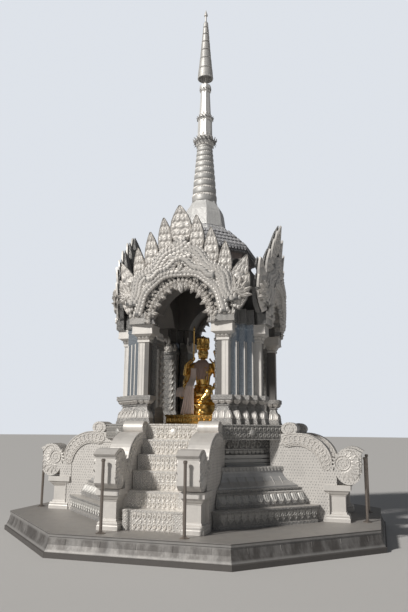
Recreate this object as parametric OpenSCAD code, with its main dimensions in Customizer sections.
// Four-faced shrine pavilion on an octagonal platform, clad in worked silver sheet.
// Millimetres, +Z up, origin at the middle of the footprint, the front stair faces -Y.

/* [Platform] */
// Height of the ground platform
platform_h = 280; // [220:10:360]
// Half the width of the platform across its flats, at the top
platform_a = 2805; // [2700:5:3400]
// How far the moulded edge flares out at the foot
platform_flare = 65; // [30:5:90]
// Height of the stanchions that stand on the platform
post_h = 900; // [700:10:1100]
// Distance of the stanchions from the platform's edge
post_inset = 183; // [120:1:200]

/* [Terrace and stairs] */
// Height of the terrace floor above the platform
terrace_h = 1350; // [1120:10:1640]
// Half the width of the terrace slab across its flats
terrace_a = 1505; // [1480:5:1560]
// Thickness of the terrace slab
slab_t = 220; // [160:10:260]
// Horizontal run of each stair, from the terrace edge to the lowest step
stair_run = 782; // [700:2:820]
// Clear width of each stair
stair_w = 820; // [700:10:860]
// Thickness of each balustrade
rail_t = 300; // [240:10:320]
// Depth of the sunk field and the scroll lines on the balustrades
relief = 10; // [5:1:15]

/* [Pavilion] */
// Distance from the middle to the centre line of the porch pillars
porch_y = 1058; // [1040:2:1280]
// Half the spacing of each pair of porch pillars
porch_x = 640; // [630:2:660]
// Width of a pillar shaft
shaft_w = 164; // [130:1:200]
// Height from terrace floor to the top of the capitals
pillar_h = 1520; // [1260:10:1830]
// Half the width of the cusped arches at their springing
arch_w = 450; // [400:5:460]
// Height of the cusped arches above their springing
arch_h = 590; // [480:10:640]
// Depth of the pediment panels
pediment_t = 130; // [100:5:160]

/* [Roof and spire] */
// Half the width of the roof across its cardinal flats
roof_a = 880; // [840:5:1060]
// Height of the stepped slope of the roof
roof_h = 406; // [340:2:490]
// Height of the bell-shaped neck of the roof
bell_h = 610; // [500:10:740]
// Height of the ringed cone
cone_h = 1080; // [900:10:1300]
// Number of rings on the cone
cone_rings = 9; // [6:1:12]
// Height of the mast above the spire
mast_h = 1620; // [1500:10:1950]

/* [Statue] */
// Height of the statue from its seat to the tip of the crown
statue_h = 1195; // [1000:5:1250]

/* [Hidden] */
silver = "#c9c6c0";
dark_silver = "#8f9296";
gold = "#c8973f";
cloth = "#d9bfae";
steel = "#a8a6a2";
k8 = tan(22.5);
seat = 0.3;
p0 = platform_h;
t0 = p0 + terrace_h;
rail_in = stair_w / 2;
rail_out = rail_in + rail_t;
slab_z = terrace_h - slab_t;

// stair: step heights as fractions of the terrace height, lowest first, below the slab
riser_frac = [0.186, 0.350, 0.531, 0.688];
treads = len(riser_frac) + 1;
going = stair_run / treads;
stair_reach = terrace_a + stair_run;
nosing_t = 26;
nosing_out = 9;

// base wings: half widths across flats and levels of the stepped mouldings
low_a = terrace_a + 464;
mid_a = terrace_a + 300;
mid_top_a = terrace_a + 177;
high_a = terrace_a + 169;
high_top_a = terrace_a + 10;
core_a = terrace_a - 247;
low_z = 0.172 * terrace_h;
mid_z = 0.348 * terrace_h;
high_z = 0.560 * terrace_h;
fillet_z = 0.650 * terrace_h;
arm_w = terrace_a * k8 - 3;
panel_w = 410;
panel_t = 22;

// balustrade: u is the distance from the middle, heights are above the platform
newel_u = stair_reach - 65;
newel_h = 506;
abacus_u = 190;
die_u = 112;
newel_out = 25;
hump_u = terrace_a + 155;
hump_z = terrace_h - 528;
hump_b = 412;
hump_end = 60;
hump_a = newel_u - 62 - hump_u;
field_r = 360;
field_z = terrace_h - 650;
curl_u = terrace_a + 47;
curl_z = terrace_h - 55;
scroll_u = newel_u + 173;
scroll_z = newel_h + 266;
scroll_a = 205;
scroll_b = 258;
roll_u = scroll_u - 81;
roll_z = scroll_z + 37;
roll_r = 104;

// corner piers
redents = 4;
cap_z = t0 + pillar_h;
base_h = 430;
capital_h = 270;
base_w = 2 * shaft_w - 8;
cap_w = 2 * shaft_w + 12;
impost_h = 230;
impost_out = 30;
head_out = 10;
head_h = 36;

// arches, pediments and upper works
arch_band = 110;
arch_steps = 48;
cusp = 34;
pendant = 100;
pediment_y = porch_y + shaft_w / 2 + impost_out;
body_t = 60;
crest_lean = 75;
crest_h = 1868;
vault_gap = 60;
vault_t = 110;
wall_w = porch_y - 198;
wall_t = 170;
wall_z = cap_z + impost_h;
wall_h = 850;
drum_z = wall_z + wall_h;
drum_h = 205;
drum_in = 110;
eave_z = drum_z + drum_h;
eave_h = 95;
eave_side = 0.57 * roof_a;
slope_z = eave_z + eave_h;
bell_a = 452;
bell_z = slope_z + roof_h;
cone_z = bell_z + bell_h;
cone_r = 222;
cone_top_r = 140;
lotus_z = cone_z + cone_h;
lotus_h = 210;
shaft_z = lotus_z + lotus_h;
shaft_h = 380;
neck_z = shaft_z + shaft_h;
neck_h = 700;
mast_z = neck_z + neck_h;
mast_r = 16;
bud_r = 34;
dais_h = 155;
dais_w = 1040;
dais_d = 840;
statue_drawn_h = 1195;
seat_z = t0 + dais_h;

module four() for (a = [0:90:270]) rotate(a) children();

// a prism of regular octagonal plan, a is half the width across flats
module oct(a, h) rotate(22.5) cylinder(r = a / cos(22.5), h = h, $fn = 8);

// the profile closed on the axis, for the turned shapes below
function closed(profile) = concat([[0, profile[0][1]]], profile, [[0, profile[len(profile) - 1][1]]]);
module oct_turned(profile) rotate(22.5) rotate_extrude($fn = 8)
    polygon(closed([for (p = profile) [p[0] / cos(22.5), p[1]]]));
module turned(profile, fn = 48) rotate_extrude($fn = fn) polygon(closed(profile));
module sq_turned(profile) rotate(45) rotate_extrude($fn = 4)
    polygon(closed([for (p = profile) [p[0] * sqrt(2), p[1]]]));

// a point on a cubic curve, and a strip of width w that follows it
function cubic(c, t) = pow(1 - t, 3) * c[0] + 3 * t * pow(1 - t, 2) * c[1]
    + 3 * t * t * (1 - t) * c[2] + t * t * t * c[3];
function cubic_side(c, t) = let (e = 0.01, d = cubic(c, t + e) - cubic(c, t - e)) [-d[1], d[0]] / norm(d);
module strip(c, w, n = 10) polygon(concat(
    [for (i = [0:n]) cubic(c, i / n) + cubic_side(c, i / n) * w / 2],
    [for (i = [n:-1:0]) cubic(c, i / n) - cubic_side(c, i / n) * w / 2]));

// the places where each corner pier breaks forward, from porch pillar to porch pillar
module at_redents(which = [0:redents]) for (i = which)
    translate([porch_x + (porch_y - porch_x) * i / redents,
        -porch_y + (porch_y - porch_x) * i / redents, 0]) children();

module platform() color(silver) oct_turned([
    [platform_a + platform_flare, 0], [platform_a + platform_flare, 62],
    [platform_a + platform_flare - 14, 66], [platform_a + platform_flare - 34, 100],
    [platform_a + 8, 150], [platform_a - 8, platform_h - 62], [platform_a - 12, platform_h - 38],
    [platform_a, platform_h - 38], [platform_a, platform_h]]);

module rail_posts() color(steel) four() for (side = [-1, 1])
    translate([side * 547, -(platform_a - post_inset), p0]) turned([
        [62, 0], [62, 6], [30, 22], [20, 30], [20, post_h - 40], [27, post_h - 30],
        [27, post_h - 8], [18, post_h]]);

module arms() translate([0, 0, p0]) four()
    translate([-arm_w, -terrace_a, 0]) cube([2 * arm_w, terrace_a, slab_z]);

module base_core() color(silver) union() {
    translate([0, 0, p0]) oct(core_a, slab_z);
    arms();
    for (a = [45:90:315]) rotate(a)
        translate([-panel_w / 2, -core_a - panel_t, p0 + fillet_z])
            cube([panel_w, core_a, slab_z - fillet_z]);
}

// everything the stairs and their balustrades take up beside the core
module stair_zone() translate([0, 0, p0]) four()
    translate([-rail_out, -stair_reach - 600, -1])
        cube([2 * rail_out, stair_reach + 600, slab_z]);

module wings(profile) difference() {
    translate([0, 0, p0]) oct_turned(profile);
    base_core();
    stair_zone();
}

module base_step_low() color(silver) wings([[low_a - 20, 0], [low_a - 20, 34], [low_a - 34, 42],
    [low_a - 30, 100], [low_a - 14, low_z - 34], [low_a - 14, low_z - 24], [low_a, low_z - 20],
    [low_a, low_z]]);
module base_step_mid() color(silver) wings([[mid_a - 8, low_z], [mid_a - 8, low_z + 24],
    [mid_a, low_z + 32], [mid_a - 4, low_z + 70], [mid_a - 28, low_z + 110],
    [mid_a - 70, mid_z - 62], [mid_top_a + 20, mid_z - 40], [mid_top_a + 20, mid_z - 26],
    [mid_top_a + 34, mid_z - 22], [mid_top_a + 34, mid_z]]);
module base_step_high() color(silver) wings([[high_a, mid_z], [high_a, mid_z + 26],
    [high_a - 30, mid_z + 44], [high_a - 96, mid_z + 88], [high_a - 140, mid_z + 150],
    [high_top_a, mid_z + 200], [high_top_a, high_z],
    [core_a + 102, high_z], [core_a + 102, high_z + 42], [core_a + 44, high_z + 42],
    [core_a + 44, fillet_z]]);

module terrace_slab() color(silver) translate([0, 0, p0 + slab_z]) oct_turned([
    [terrace_a, 0], [terrace_a, 20], [terrace_a - 8, 20], [terrace_a - 8, slab_t - 22],
    [terrace_a, slab_t - 22], [terrace_a, slab_t]]);

// one step in each of the four stairs, n counts from the bottom
module tread(n) color(silver) four() let (
        z1 = p0 + (n == 0 ? 0 : riser_frac[n - 1] * terrace_h),
        z2 = p0 + (n < treads - 1 ? riser_frac[n] * terrace_h : slab_z),
        y = terrace_a + going * (treads - n))
    translate([-rail_in, 0, 0]) rotate([90, 0, 90]) linear_extrude(stair_w) polygon([
        [-y, z2], [-y, z2 - nosing_t], [-y + nosing_out, z2 - nosing_t], [-y + nosing_out, z1],
        [-terrace_a, z1], [-terrace_a, z2]]);

// side outline of a balustrade, drawn with u to the right
module oval(u, z, a, b, n = 48) polygon([for (i = [0:n - 1])
    [u + a * cos(360 * i / n), z + b * sin(360 * i / n)]]);
module rail_outline() {
    // body under the hump, out to the newel
    translate([core_a, 0]) square([newel_u - die_u - seat - core_a, newel_h]);
    translate([core_a, 0]) square([hump_u + hump_a - hump_end - core_a, hump_z]);
    // hump and its rounded end
    intersection() {
        oval(hump_u, hump_z, hump_a, hump_b);
        translate([core_a, hump_z]) square([hump_a + hump_u - core_a, hump_b]);
    }
    oval(hump_u + hump_a - hump_end, hump_z, hump_end, hump_end, 24);
    translate([core_a, hump_z]) square([hump_u - core_a, hump_b - 12]);
    // curl at the head of the rail
    oval(curl_u, curl_z, 120, 95);
    // bud and scroll over the newel
    oval(hump_u + hump_a - 22, hump_z - 73, 45, 45, 22);
    translate([newel_u - 190, newel_h]) square([190, scroll_z - newel_h - 60]);
    difference() {
        union() {
            intersection() {
                oval(scroll_u, scroll_z, scroll_a, scroll_b);
                translate([newel_u - 190, newel_h]) square([2 * scroll_a + 100, 2 * scroll_b]);
            }
            polygon([[scroll_u - 10, scroll_z + scroll_b], [scroll_u + 90, scroll_z + scroll_b - 16],
                [scroll_u + 198, scroll_z + scroll_b - 76], [scroll_u + 140, scroll_z + 120],
                [scroll_u, scroll_z + 120]]);
        }
        oval(scroll_u + 192, scroll_z + scroll_b - 128, 40, 40, 20);
    }
}
// the part of the side that is sunk, leaving the border band along the hump
module rail_field() intersection() {
    translate([core_a, -1]) square([newel_u - core_a - 125, terrace_h]);
    union() {
        oval(hump_u, field_z, field_r, field_r);
        translate([core_a, -1]) square([hump_u - core_a, field_z + field_r + 1]);
        translate([core_a, -1]) square([hump_u - core_a + field_r, field_z + 1]);
        translate([core_a, -1]) square([newel_u - core_a, newel_h]);
    }
}
module ring(u, z, r, w) difference() {
    oval(u, z, r, r, 32);
    oval(u, z, r - w, r - w, 32);
}
module rail_grooves() {
    ring(roll_u, roll_z, roll_r, 14);
    ring(curl_u, curl_z, 72, 12);
    intersection() {
        difference() {
            oval(scroll_u, scroll_z, scroll_a - 26, scroll_b - 30);
            oval(scroll_u, scroll_z, scroll_a - 40, scroll_b - 44);
        }
        translate([scroll_u - 20, scroll_z - 180]) square([scroll_a, 2 * scroll_b]);
    }
}
// puts an outline drawn in u and height into the plane of a balustrade
module rail_slice(x, t) translate([x, 0, p0]) rotate([90, 0, 90]) linear_extrude(t)
    scale([-1, 1]) children();

module balustrade() color(silver) difference() {
    for (side = [-1, 1]) translate([side < 0 ? -rail_out : rail_in, 0, 0]) difference() {
        rail_slice(0, rail_t) rail_outline();
        rail_slice(-1, relief + 1) { rail_field(); rail_grooves(); }
        rail_slice(rail_t - relief, relief + 1) { rail_field(); rail_grooves(); }
    }
    base_core();
    translate([0, 0, p0 + slab_z]) oct(terrace_a, slab_t + 1);
    translate([0, 0, p0]) oct(core_a + 102, high_z + 42);
    translate([0, 0, p0]) oct(core_a + 44, fillet_z);
    newel_pair();
}

module newel_pair() for (side = [-1, 1])
    translate([side * (rail_in + (rail_t + newel_out) / 2), -newel_u, p0])
        scale([(rail_t + newel_out) / 2 / abacus_u, 1, 1]) sq_turned([
            [172, 0], [172, 48], [164, 60], [166, 84], [150, 102], [126, 108], [122, 134], [die_u, 136],
            [die_u, 352], [122, 356], [124, 366], [146, 384], [170, 420], [176, 428], [abacus_u, 430],
            [abacus_u, newel_h]]);
module newels() color(silver) four() newel_pair();

pier_base_profile = [[base_w / 2, 0], [base_w / 2, 34], [base_w / 2 - 8, 40],
    [base_w / 2 - 14, 84], [base_w / 2 - 34, 150], [shaft_w / 2 + 16, 214], [shaft_w / 2 + 2, 262],
    [shaft_w / 2 + 2, 270], [shaft_w / 2 + 18, 274], [shaft_w / 2 + 18, 290],
    [shaft_w / 2 + 4, 294], [shaft_w / 2 + 12, 318], [base_w / 2 - 16, 350], [base_w / 2 - 12, 360],
    [base_w / 2, 362], [base_w / 2, base_h]];
pier_cap_profile = [[shaft_w / 2, 0], [shaft_w / 2 + 18, 6], [shaft_w / 2 + 18, 40],
    [shaft_w / 2 + 6, 46], [shaft_w / 2 + 20, 84], [cap_w / 2 - 18, 122], [cap_w / 2, 128],
    [cap_w / 2, 150], [cap_w / 2 - 5, 152], [cap_w / 2 - 5, capital_h - 24],
    [cap_w / 2, capital_h - 22], [cap_w / 2, capital_h]];

module pier_bases() color(silver) translate([0, 0, t0]) four() at_redents()
    sq_turned(pier_base_profile);
module pier_shafts() color(silver) translate([0, 0, t0 + base_h]) four() at_redents()
    translate([-shaft_w / 2, -shaft_w / 2, 0])
        cube([shaft_w, shaft_w, pillar_h - base_h - capital_h]);
// the front and side pillars have capitals, the shafts between them run up to the same height
module pier_capitals() color(silver) translate([0, 0, cap_z - capital_h]) four() {
    at_redents([0, redents]) sq_turned(pier_cap_profile);
    at_redents([1:redents - 1]) translate([-shaft_w / 2, -shaft_w / 2, 0])
        cube([shaft_w, shaft_w, capital_h]);
    at_redents([1:redents - 1]) translate([-shaft_w / 2 - head_out, -shaft_w / 2 - head_out,
        capital_h - 2 * head_h]) cube([shaft_w + 2 * head_out, shaft_w + 2 * head_out, head_h]);
}
module imposts() color(silver) translate([0, 0, cap_z]) four() at_redents()
    translate([-shaft_w / 2 - impost_out, -shaft_w / 2 - impost_out, 0])
        cube([shaft_w + 2 * impost_out, shaft_w + 2 * impost_out, impost_h]);

// pointed curve of the arch grown by g, with its feet carried down by drop
function arch_point(g, a) = [(arch_w + g) * sign(cos(a)) * pow(abs(cos(a)), 1.14),
    (arch_h + g) * pow(sin(a), 0.96)];
module arch_outline(g, drop = 0) polygon(concat([[-arch_w - g, -drop]],
    [for (i = [0:arch_steps]) arch_point(g, 180 - 180 * i / arch_steps)],
    [[arch_w + g, -drop]]));
// the same opening with pointed cusps and a larger one at the crown
function cusp_at(a) = (abs(a - 90) < 7 ? pendant : cusp) * pow(abs(cos(12 * (a - 90))), 2);
module cusped_opening() polygon(concat([[-arch_w, -1]],
    [for (i = [0:arch_steps]) let (a = 180 - 180 * i / arch_steps) arch_point(-cusp_at(a), a)],
    [[arch_w, -1]]));

// outer outline of a pediment without its leaves, x and height above the capitals
half_pediment = [[840, 0], [862, 160], [866, 330], [810, 560], [720, 740], [600, 850],
    [500, 940], [400, 1060], [290, 1190], [150, 1290], [0, 1340]];
module pediment_outline() polygon(concat(half_pediment,
    [for (i = [len(half_pediment) - 2:-1:0]) [-half_pediment[i][0], half_pediment[i][1]]]));
// leaves of the crest: foot x, foot height, tip x, tip height, width
leaves = [[0, 1290, 0, 1868, 336], [256, 1100, 270, 1690, 222], [482, 850, 498, 1478, 226],
    [684, 670, 720, 1246, 202], [790, 430, 1036, 1030, 246], [838, 200, 1062, 756, 200]];
module leaf(l, side, w_in = 0) let (dx = side * (l[2] - l[0]), dz = l[3] - l[1], h = norm([dx, dz]),
        steps = 10, w = l[4] / 2 - w_in,
        half = function(t) w * (t < 0.36 ? 0.62 + 0.38 * sin(250 * t)
            : pow(cos(90 * (t - 0.36) / 0.64), 0.85)))
    translate([side * l[0], l[1]]) rotate(-atan2(dx, dz)) polygon(concat(
        [for (i = [0:steps]) [half(i / steps), (h - 3 * w_in) * i / steps + w_in]],
        [for (i = [steps - 1:-1:0]) [-half(i / steps), (h - 3 * w_in) * i / steps + w_in]]));
// the two serpent bodies: one follows the arch, one weaves across the gable
body_arch = [[690, 150], [640, 470], [420, 770], [0, 800]];
body_gable = [[800, 330], [700, 760], [330, 900], [-60, 1240]];
body_loop = [[560, 700], [380, 720], [180, 960], [-120, 1010]];
module bodies() for (side = [-1, 1]) scale([side, 1]) {
    strip(body_arch, 120);
    strip(body_gable, 150);
    strip(body_loop, 120);
    for (a = [-58:24:62]) translate([868, 420]) rotate(-a) translate([0, 60])
        polygon([[-38, -60], [-42, 60], [-20, 150], [0, 190], [24, 140], [42, 60], [38, -60]]);
}
module collar() for (side = [-1, 1]) translate([side * 662 - 186, 0]) square([372, 165]);
module stand(y, t) translate([0, -y, cap_z]) rotate([90, 0, 0]) linear_extrude(t) children();

// a sheet as wide as the porch that leans outwards as it rises, from y to y + t at its foot
function lean(z) = crest_lean * pow(z / crest_h, 2.4);
lean_steps = 8;
module leaning(y, t) translate([-porch_y - 200, 0, cap_z]) rotate([90, 0, 90])
    linear_extrude(2 * porch_y + 400) polygon(concat(
        [for (i = [0:lean_steps]) let (z = (crest_h + 10) * i / lean_steps) [-y - t - lean(z), z]],
        [for (i = [lean_steps:-1:0]) let (z = (crest_h + 10) * i / lean_steps) [-y - lean(z), z]]));

module arch() color(silver) stand(pediment_y, pediment_t - 40) difference() {
    arch_outline(arch_band);
    cusped_opening();
}
module pediment() color(silver) difference() {
    union() {
        intersection() {
            leaning(pediment_y, pediment_t - body_t);
            stand(pediment_y - 20, pediment_t + crest_lean + 60) {
                pediment_outline();
                for (l = leaves) for (side = [-1, 1]) leaf(l, side);
            }
        }
        intersection() {
            leaning(pediment_y + 20, pediment_t - body_t + 10);
            stand(pediment_y - 20, pediment_t + crest_lean + 60) for (l = leaves)
                for (side = [-1, 1]) leaf(l, side, 26);
        }
        stand(pediment_y, pediment_t) { bodies(); collar(); }
    }
    stand(pediment_y - 1, pediment_t + 100) arch_outline(arch_band, 1);
}
module porch_vaults() color(dark_silver) four() stand(wall_w, pediment_y - wall_w) difference() {
    arch_outline(vault_gap + vault_t);
    arch_outline(vault_gap, 1);
    translate([-porch_y, -1]) square([2 * porch_y, impost_h + 1]);
}
module upper_wall() color(dark_silver) difference() {
    translate([-wall_w, -wall_w, wall_z]) cube([2 * wall_w, 2 * wall_w, wall_h]);
    translate([-wall_w + wall_t, -wall_w + wall_t, wall_z - 1])
        cube([2 * (wall_w - wall_t), 2 * (wall_w - wall_t), wall_h - 120]);
    four() stand(wall_w - wall_t - 5, wall_t + 20) arch_outline(vault_gap, 1);
}
// octagon with longer cardinal sides: half width across flats, half length of those sides
module long_oct(a, h) polygon([[h, -a], [a, -h], [a, h], [h, a], [-h, a], [-a, h], [-a, -h], [-h, -a]]);
module roof_drum() color(dark_silver) translate([0, 0, drum_z])
    linear_extrude(drum_h) long_oct(roof_a - drum_in, eave_side - 0.8 * drum_in);
module roof_eave() color(dark_silver) translate([0, 0, eave_z]) {
    linear_extrude(eave_h - 30) long_oct(roof_a - 16, eave_side - 40);
    translate([0, 0, eave_h - 30]) linear_extrude(30) long_oct(roof_a, eave_side);
}
// the slope of the roof in overlapping bands that shrink towards the bell
roof_bands = 4;
module roof_slope() color(dark_silver) translate([0, 0, slope_z]) for (i = [0:roof_bands - 1])
    let (step = function(t) [roof_a - 12 + (bell_a + 10 - roof_a) * t,
            eave_side - 8 + (bell_a * k8 - eave_side) * t],
        low = step(i / roof_bands), top = step((i + 1) / roof_bands), h = roof_h / roof_bands)
    translate([0, 0, h * i]) hull() {
        linear_extrude(16) long_oct(low[0], low[1]);
        translate([0, 0, h - 1]) linear_extrude(1) long_oct(top[0] + 10, top[1] + 6);
    }
module roof_bell() color(silver) translate([0, 0, bell_z]) oct_turned([
    [bell_a, 0], [bell_a, 22], [bell_a - 24, 30], [bell_a - 34, 60], [bell_a - 62, 92],
    [bell_a - 62, 102], [bell_a - 88, 106], [bell_a - 92, 0.22 * bell_h], [bell_a - 106, 0.40 * bell_h],
    [bell_a - 120, 0.58 * bell_h], [bell_a - 138, 0.70 * bell_h], [bell_a - 168, 0.80 * bell_h],
    [bell_a - 202, 0.88 * bell_h], [bell_a - 232, 0.96 * bell_h], [bell_a - 236, bell_h]]);
// rings that grow thicker towards the foot, each a rounded band with a groove above it
ring_growth = 1.07;
function ring_z(i) = cone_h * (1 - (pow(ring_growth, cone_rings - i) - 1)
    / (pow(ring_growth, cone_rings) - 1));
module spire_cone() color(silver) translate([0, 0, cone_z]) turned(concat([[cone_r + 3, 0]],
    [for (i = [0:cone_rings - 1]) let (z = ring_z(i), d = ring_z(i + 1) - z,
        r = cone_r - (cone_r - cone_top_r) * z / cone_h)
        each [[r - 16, z + 3], [r - 4, z + 0.12 * d], [r, z + 0.3 * d], [r, z + 0.55 * d],
            [r - 6, z + 0.8 * d], [r - 18, z + d - 3]]], [[cone_top_r - 4, cone_h]]));
module spire_lotus() color(silver) translate([0, 0, lotus_z]) turned([
    [142, 0], [142, 24], [150, 34], [160, 60], [176, 92], [180, 112], [168, 124],
    [150, 140], [146, 180], [150, 196], [142, lotus_h]]);
module spire_shaft() color(silver) translate([0, 0, shaft_z]) oct_turned([
    [136, 0], [136, 20], [127, 26], [120, shaft_h - 40], [132, shaft_h - 28], [140, shaft_h - 10],
    [140, shaft_h]]);
module spire_neck() color(silver) translate([0, 0, neck_z]) oct_turned([
    [126, 0], [126, 36], [112, 44], [104, 60], [100, 80], [79, neck_h - 145], [84, neck_h - 138],
    [99, neck_h - 130], [99, neck_h - 20], [88, neck_h - 8], [50, neck_h]]);
module mast() color(silver) translate([0, 0, mast_z]) turned([
    [mast_r + 8, 0], [mast_r + 8, 60], [mast_r, 60], [mast_r, mast_h - 136], [bud_r, mast_h - 130],
    [bud_r, mast_h - 112], [bud_r - 8, mast_h - 84], [12, mast_h - 40], [2, mast_h]]);
// umbrella tiers: radius, and height of the rim above the mast's foot; the last one ends the stack
tiers = [[143, 130], [122, 340], [101, 552], [87, 732], [72, 912], [60, 1080], [47, 1232], [36, 1350]];
module umbrellas() color(silver) translate([0, 0, mast_z]) difference() {
    rotate_extrude($fn = 48) for (i = [0:len(tiers) - 2])
        let (r = tiers[i][0], z = tiers[i][1], r2 = tiers[i + 1][0], z2 = tiers[i + 1][1],
            hollow = i == 0 ? 120 : 12, top = r - 0.6 * (r - r2))
        polygon([[0, z + hollow], [r - 16, z + hollow], [r - 7, z], [r, z], [r - 1, z + 14],
            [top, z2 - 30], [top - 5, z2 - 14], [top - 16, z2 - 4], [0.55 * r2, z2 + 18], [0, z2 + 18]]);
    translate([0, 0, 61]) cylinder(r = mast_r, h = mast_h, $fn = 48);
}

module statue_pedestal() color(gold) translate([0, 0, t0]) {
    linear_extrude(dais_h - 30) offset(delta = -14) square([dais_w, dais_d], center = true);
    translate([0, 0, dais_h - 30]) linear_extrude(30) square([dais_w, dais_d], center = true);
    linear_extrude(26) square([dais_w, dais_d], center = true);
}

// a seated figure with one leg down, four arms and a tiered crown over four faces
module limb(a, b, ra, rb) hull() {
    translate(a) sphere(ra, $fn = 10);
    translate(b) sphere(rb, $fn = 10);
}
module statue() color(gold) translate([0, 0, seat_z]) scale(statue_h / statue_drawn_h) {
    // lotus seat and footstool
    turned([[262, 0], [276, 20], [280, 60], [262, 96], [232, 112], [236, 124], [262, 140],
        [284, 176], [286, 196], [250, 214]], 24);
    translate([118, -318, 0]) turned([[86, 0], [96, 18], [96, 44], [84, 62]], 24);
    // hips and crossed leg, then the leg that hangs down
    limb([0, 20, 270], [0, 10, 330], 128, 112);
    limb([-70, 0, 262], [-255, -110, 258], 78, 58);
    limb([-255, -110, 250], [-20, -225, 244], 54, 38);
    limb([70, 0, 266], [140, -236, 262], 78, 62);
    limb([140, -236, 256], [118, -308, 112], 56, 34);
    limb([118, -296, 96], [118, -360, 88], 34, 24);
    // waist, chest, shoulders and neck
    limb([0, 10, 330], [0, 0, 500], 96, 118);
    limb([-120, 6, 572], [120, 6, 572], 56, 56);
    limb([0, 0, 560], [0, 0, 690], 66, 54);
    // lower pair of arms rests on the knees, upper pair is raised
    for (side = [-1, 1]) {
        limb([side * 160, 0, 570], [side * 250, -40, 400], 44, 36);
        limb([side * 250, -40, 400], [side * 200, -180, 330], 34, 26);
        limb([side * 160, 20, 590], [side * 300, 20, 660], 42, 34);
        limb([side * 300, 20, 660], [side * 264, -60, 860], 32, 24);
        limb([side * 264, -60, 860], [side * 258, -70, 905], 28, 26);
    }
    // head with a brow band, and the tiered crown
    translate([0, 0, 790]) scale([0.98, 1, 1.22]) sphere(112, $fn = 16);
    translate([0, 0, 880]) turned([[112, 0], [122, 10], [122, 34], [106, 44], [112, 60], [112, 92],
        [92, 104], [96, 120], [94, 146], [70, 160], [74, 176], [66, 204], [40, 226], [34, 250],
        [18, 282], [3, 315]], 24);
    // staff in a raised hand
    translate([-258, -92, 700]) cylinder(r = 11, h = 790, $fn = 16);
}
// a folded cloth laid over the lap that falls to the dais
module sash() color(cloth) translate([-142, 0, seat_z]) rotate([90, 0, 90]) linear_extrude(150)
    polygon([[-150, 640], [-138, 640], [-170, 470], [-305, 352], [-312, 0], [-326, 0], [-320, 362],
        [-182, 482]]);

platform();
rail_posts();
base_core();
base_step_low();
base_step_mid();
base_step_high();
terrace_slab();
tread(0);  // tread_1
tread(1);  // tread_2
tread(2);  // tread_3
tread(3);  // tread_4
tread(4);  // tread_5
balustrade();  // balustrade_front
rotate(90) balustrade();  // balustrade_right
rotate(180) balustrade();  // balustrade_back
rotate(-90) balustrade();  // balustrade_left
newels();
pier_bases();
pier_shafts();
pier_capitals();
imposts();
arch();  // arch_front
rotate(90) arch();  // arch_right
rotate(180) arch();  // arch_back
rotate(-90) arch();  // arch_left
pediment();  // pediment_front
rotate(90) pediment();  // pediment_right
rotate(180) pediment();  // pediment_back
rotate(-90) pediment();  // pediment_left
porch_vaults();
upper_wall();
roof_drum();
roof_eave();
roof_slope();
roof_bell();
spire_cone();
spire_lotus();
spire_shaft();
spire_neck();
mast();
umbrellas();
statue_pedestal();
statue();
sash();
